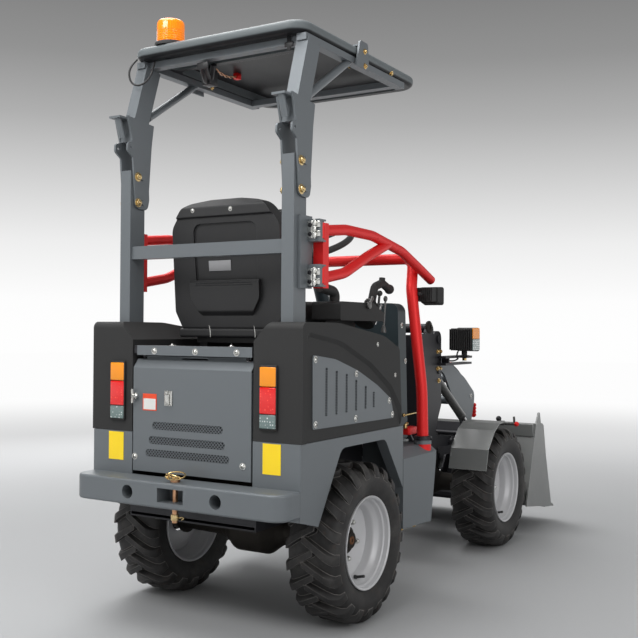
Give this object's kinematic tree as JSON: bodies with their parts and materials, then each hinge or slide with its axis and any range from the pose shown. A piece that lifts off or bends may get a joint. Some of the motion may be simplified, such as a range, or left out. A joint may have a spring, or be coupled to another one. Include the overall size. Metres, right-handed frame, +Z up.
{
  "type": "compact articulated wheel loader",
  "caption": "Small articulated wheel loader with open seat, folding roof frame, side gates, rear engine hood and a front boom with bucket.",
  "frame": {"origin": "on the ground, at the middle of the overall length and width", "axes": "+X forward to the bucket, +Y to the left, +Z up"},
  "size_m": [2.784, 1.028, 2.2779],
  "materials": {
    "grey_paint": "semi-gloss grey paint",
    "bucket_paint": "grey paint, lightly scuffed",
    "black_cover": "satin black",
    "slate_paint": "dark slate satin",
    "red_paint": "glossy red",
    "tyre": "dusty black rubber",
    "rim_silver": "silver paint",
    "black_steel": "black paint",
    "cast_iron": "black painted casting",
    "chrome_rod": "hard chrome",
    "zinc": "yellow zinc",
    "lamp_lens": "red, amber and clear lens",
    "amber_lens": "amber lens",
    "lamp_black": "black housing",
    "seat_vinyl": "black grained vinyl",
    "roof_plastic": "grey moulded roof",
    "wheel_black": "soft black rim",
    "cable_black": "black cable"
  },
  "bodies": {
    "rear_frame": {"rear_chassis": "grey_paint", "rear_bumper": "grey_paint", "hitch_pin": "zinc", "rear_axle": "cast_iron", "rear_fenders": "grey_paint", "side_covers": "black_cover", "vent_panels": "grey_paint", "engine_block": "cast_iron", "tail_lights": "lamp_lens", "seat_frame": "black_cover", "seat_back_pad": "seat_vinyl", "seat_cushion": "seat_vinyl", "control_box": "black_cover", "dash": "slate_paint", "step_boxes": "grey_paint", "floor_plate": "grey_paint", "front_hoop": "red_paint", "rops_lower": "grey_paint", "work_lights": "lamp_black"},
    "engine_door": {"engine_door": "grey_paint"},
    "roof_frame": {"rops_upper": "grey_paint", "roof": "roof_plastic", "beacon": "amber_lens", "roof_cable": "cable_black"},
    "gate_left": {"gate_left": "red_paint"},
    "gate_right": {"gate_right": "red_paint"},
    "steering_wheel": {"steering_wheel": "wheel_black"},
    "front_frame": {"front_frame": "black_steel", "front_axle": "cast_iron", "front_fenders": "grey_paint", "headlights": "lamp_black"},
    "boom": {"boom": "grey_paint"},
    "bucket_pin": {"bucket_pin": "zinc"},
    "lift_barrels": {"lift_barrels": "black_steel"},
    "lift_rods": {"lift_rods": "chrome_rod"},
    "tilt_barrel": {"tilt_barrel": "black_steel"},
    "tilt_rod": {"tilt_rod": "chrome_rod"},
    "bucket": {"coupler": "grey_paint", "bucket": "bucket_paint"},
    "steer_barrel": {"steer_barrel": "black_steel"},
    "steer_rod": {"steer_rod": "chrome_rod"},
    "rear_left_wheel": {"rear_left_tyre": "tyre", "rear_left_rim": "rim_silver"},
    "rear_right_wheel": {"rear_right_tyre": "tyre", "rear_right_rim": "rim_silver"},
    "front_left_wheel": {"front_left_tyre": "tyre", "front_left_rim": "rim_silver"},
    "front_right_wheel": {"front_right_tyre": "tyre", "front_right_rim": "rim_silver"}
  },
  "joints": [
    {"name": "articulation", "type": "hinge", "parent": "rear_frame", "child": "front_frame", "pos_m": [-0.112, 0, 0.42], "axis": [0, 0, 1], "range_deg": [-35, 35]},
    {"name": "steer_barrel_swing", "type": "hinge", "parent": "rear_frame", "child": "steer_barrel", "pos_m": [-0.422, -0.24, 0.41], "axis": [0, 0, 1], "range_deg": [-30, 30]},
    {"name": "steer_rod_slide", "type": "slide", "parent": "steer_barrel", "child": "steer_rod", "axis": [1, 0.0078, 0], "range_m": [-0.16, 0.16]},
    {"name": "boom_lift", "type": "hinge", "parent": "front_frame", "child": "boom", "pos_m": [0.253, 0, 1.04], "axis": [0, -1, 0], "range_deg": [0, 80]},
    {"name": "lift_barrel_swing", "type": "hinge", "parent": "front_frame", "child": "lift_barrels", "pos_m": [0.26, 0, 0.885], "axis": [0, -1, 0], "range_deg": [-5, 95]},
    {"name": "lift_rod_slide", "type": "slide", "parent": "lift_barrels", "child": "lift_rods", "axis": [0.8439, 0, -0.5365], "range_m": [-0.01, 0.3]},
    {"name": "bucket_pin_turn", "type": "hinge", "parent": "boom", "child": "bucket_pin", "pos_m": [0.908, 0, 0.18], "axis": [0, -1, 0], "range_deg": [-65, 5]},
    {"name": "bucket_tilt", "type": "hinge", "parent": "bucket_pin", "child": "bucket", "pos_m": [0.908, 0, 0.18], "axis": [0, -1, 0], "range_deg": [-45, 18]},
    {"name": "tilt_barrel_swing", "type": "hinge", "parent": "front_frame", "child": "tilt_barrel", "pos_m": [0.248, 0, 1.122], "axis": [0, -1, 0], "range_deg": [-5, 90]},
    {"name": "tilt_rod_slide", "type": "slide", "parent": "tilt_barrel", "child": "tilt_rod", "axis": [0.6261, 0, -0.7798], "range_m": [-0.1, 0.1]},
    {"name": "roof_fold", "type": "hinge", "parent": "rear_frame", "child": "roof_frame", "pos_m": [-1.167, 0, 1.57], "axis": [0, 1, 0], "range_deg": [-95, 0]},
    {"name": "engine_door_hinge", "type": "hinge", "parent": "rear_frame", "child": "engine_door", "pos_m": [-1.252, 0, 0.978], "axis": [0, 1, 0], "range_deg": [0, 60]},
    {"name": "gate_left_hinge", "type": "hinge", "parent": "rear_frame", "child": "gate_left", "pos_m": [-1.114, 0.446, 1.35], "axis": [0, 0, 1], "range_deg": [0, 100]},
    {"name": "gate_right_hinge", "type": "hinge", "parent": "rear_frame", "child": "gate_right", "pos_m": [-1.114, -0.446, 1.35], "axis": [0, 0, 1], "range_deg": [-100, 0]},
    {"name": "steering_wheel_turn", "type": "hinge", "parent": "rear_frame", "child": "steering_wheel", "pos_m": [-0.469, 0, 1.457], "axis": [-0.4242, 0, 0.9056], "continuous": true},
    {"name": "rear_left_wheel_spin", "type": "hinge", "parent": "rear_frame", "child": "rear_left_wheel", "pos_m": [-0.852, 0.408, 0.295], "axis": [0, 1, 0], "continuous": true},
    {"name": "rear_right_wheel_spin", "type": "hinge", "parent": "rear_frame", "child": "rear_right_wheel", "pos_m": [-0.852, -0.408, 0.295], "axis": [0, 1, 0], "continuous": true},
    {"name": "front_left_wheel_spin", "type": "hinge", "parent": "front_frame", "child": "front_left_wheel", "pos_m": [0.628, 0.408, 0.295], "axis": [0, 1, 0], "continuous": true},
    {"name": "front_right_wheel_spin", "type": "hinge", "parent": "front_frame", "child": "front_right_wheel", "pos_m": [0.628, -0.408, 0.295], "axis": [0, 1, 0], "continuous": true}
  ],
  "couplings": [
    {"joint": "steer_barrel_swing", "follows": "articulation", "ratio": 0.5134},
    {"joint": "steer_rod_slide", "follows": "articulation", "m_per_rad": 0.2353},
    {"joint": "lift_barrel_swing", "follows": "boom_lift", "ratio": 1.0172},
    {"joint": "lift_rod_slide", "follows": "boom_lift", "m_per_rad": 0.1459},
    {"joint": "bucket_pin_turn", "follows": "boom_lift", "ratio": -0.7269},
    {"joint": "tilt_barrel_swing", "follows": "boom_lift", "ratio": 0.9949},
    {"joint": "tilt_rod_slide", "follows": "bucket_tilt", "m_per_rad": -0.1021}
  ]
}
